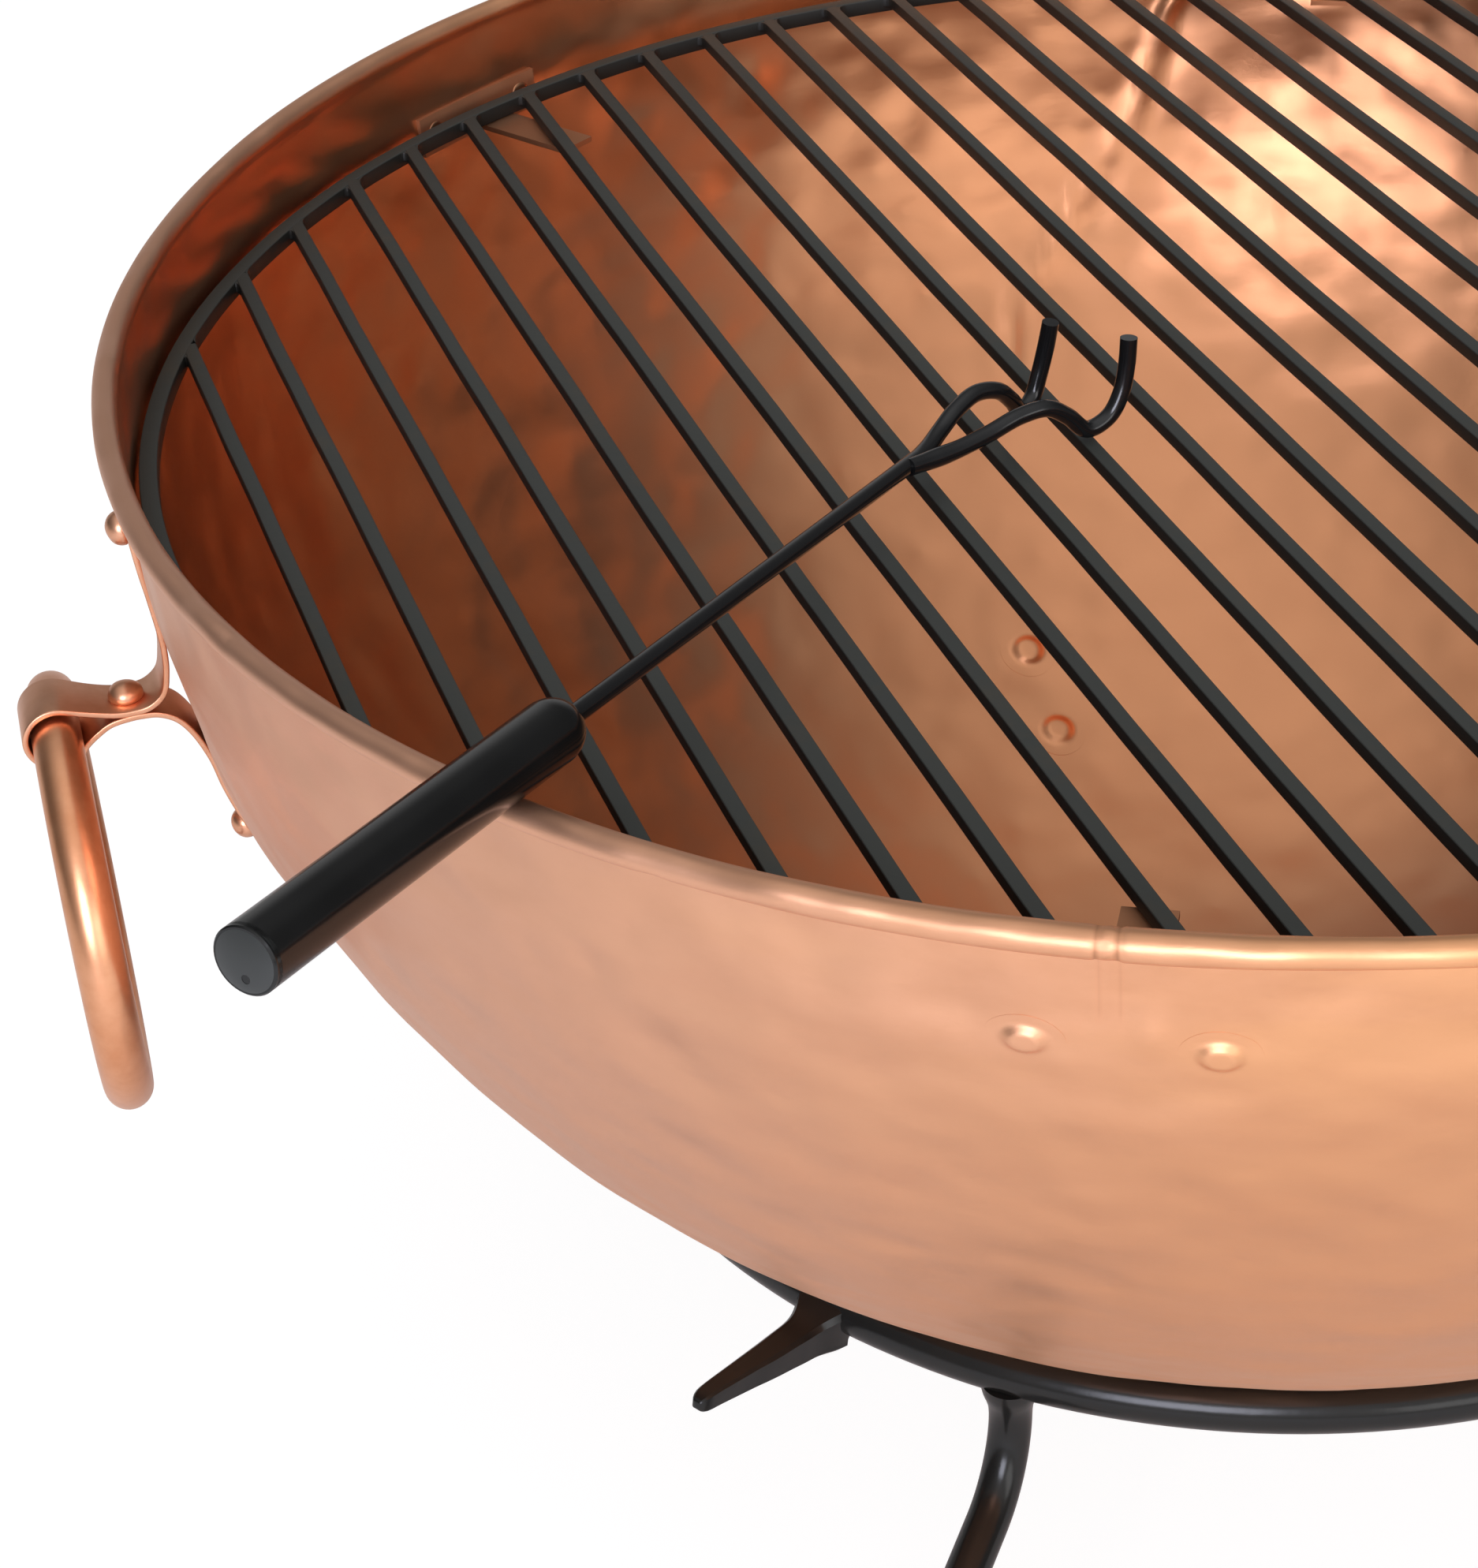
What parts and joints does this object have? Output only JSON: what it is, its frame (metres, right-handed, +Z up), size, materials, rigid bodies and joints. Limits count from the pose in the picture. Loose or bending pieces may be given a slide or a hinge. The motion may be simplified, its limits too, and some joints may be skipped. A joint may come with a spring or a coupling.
{
  "type": "fire pit with grate",
  "caption": "Round copper fire bowl with a rolled rim and ring handles, a loose round bar grate, a ring stand on bent legs and a two-pronged fork.",
  "frame": {"origin": "on the floor under the middle of the bowl", "axes": "+Z up; X runs through the two ring handles, with the left handle at -X; the fork lies over the rim at -X -Y"},
  "size_m": [0.8418, 0.762, 0.492],
  "materials": {
    "copper": "hand-hammered copper, satin with soft highlights",
    "bright_copper": "polished copper rivets",
    "copper_tube": "smooth brushed copper tube",
    "black_steel": "satin black-brown baked paint over steel",
    "grate_steel": "matt grey-black heat paint",
    "fork_steel": "gloss black paint over steel rod",
    "grip_black": "satin black grip",
    "grip_cap": "matt dark grey end cap"
  },
  "bodies": {
    "stand": {"stand_ring": "black_steel", "stand_leg_1": "black_steel", "stand_leg_2": "black_steel", "stand_leg_3": "black_steel", "stand_horn_1": "black_steel", "stand_horn_2": "black_steel", "stand_horn_3": "black_steel", "foot_pad_1": "black_steel", "foot_pad_2": "black_steel", "foot_pad_3": "black_steel"},
    "bowl": {"bowl_shell": "copper", "rim_wire": "black_steel", "grate_support_1": "copper", "grate_support_2": "copper", "grate_support_3": "copper", "grate_support_4": "copper", "support_rivets": "bright_copper", "bowl_stop_1": "copper", "bowl_stop_2": "copper", "bowl_stop_3": "copper", "stop_rivets": "bright_copper", "handle_strap_left": "copper", "handle_strap_right": "copper", "strap_rivets": "bright_copper", "clamp_rivets": "bright_copper"},
    "left_handle": {"ring_handle_left": "copper_tube"},
    "right_handle": {"ring_handle_right": "copper_tube"},
    "grate": {"grate_ring": "grate_steel", "grate_bar_01": "grate_steel", "grate_bar_02": "grate_steel", "grate_bar_03": "grate_steel", "grate_bar_04": "grate_steel", "grate_bar_05": "grate_steel", "grate_bar_06": "grate_steel", "grate_bar_07": "grate_steel", "grate_bar_08": "grate_steel", "grate_bar_09": "grate_steel", "grate_bar_10": "grate_steel", "grate_bar_11": "grate_steel", "grate_bar_12": "grate_steel", "grate_bar_13": "grate_steel", "grate_bar_14": "grate_steel", "grate_bar_15": "grate_steel", "grate_bar_16": "grate_steel", "grate_bar_17": "grate_steel", "grate_bar_18": "grate_steel", "grate_bar_19": "grate_steel", "grate_bar_20": "grate_steel", "grate_bar_21": "grate_steel", "grate_bar_22": "grate_steel", "grate_bar_23": "grate_steel"},
    "fork": {"fork_grip": "grip_black", "fork_end_cap": "grip_cap", "fork_rod": "fork_steel", "fork_prong_left": "fork_steel", "fork_prong_right": "fork_steel"}
  },
  "joints": [
    {"name": "bowl_lift", "type": "slide", "parent": "stand", "child": "bowl", "axis": [0, 0, 1], "range_m": [0, 0.25]},
    {"name": "left_handle_swing", "type": "hinge", "parent": "bowl", "child": "left_handle", "pos_m": [-0.41, 0, 0.3663], "axis": [0, 1, 0], "range_deg": [-35, 190]},
    {"name": "right_handle_swing", "type": "hinge", "parent": "bowl", "child": "right_handle", "pos_m": [0.41, 0, 0.3663], "axis": [0, -1, 0], "range_deg": [-35, 190]},
    {"name": "grate_lift", "type": "slide", "parent": "bowl", "child": "grate", "axis": [0, 0, 1], "range_m": [0, 0.15]},
    {"name": "fork_lift", "type": "slide", "parent": "grate", "child": "fork", "axis": [0, 0, 1], "range_m": [0, 0.15]}
  ]
}
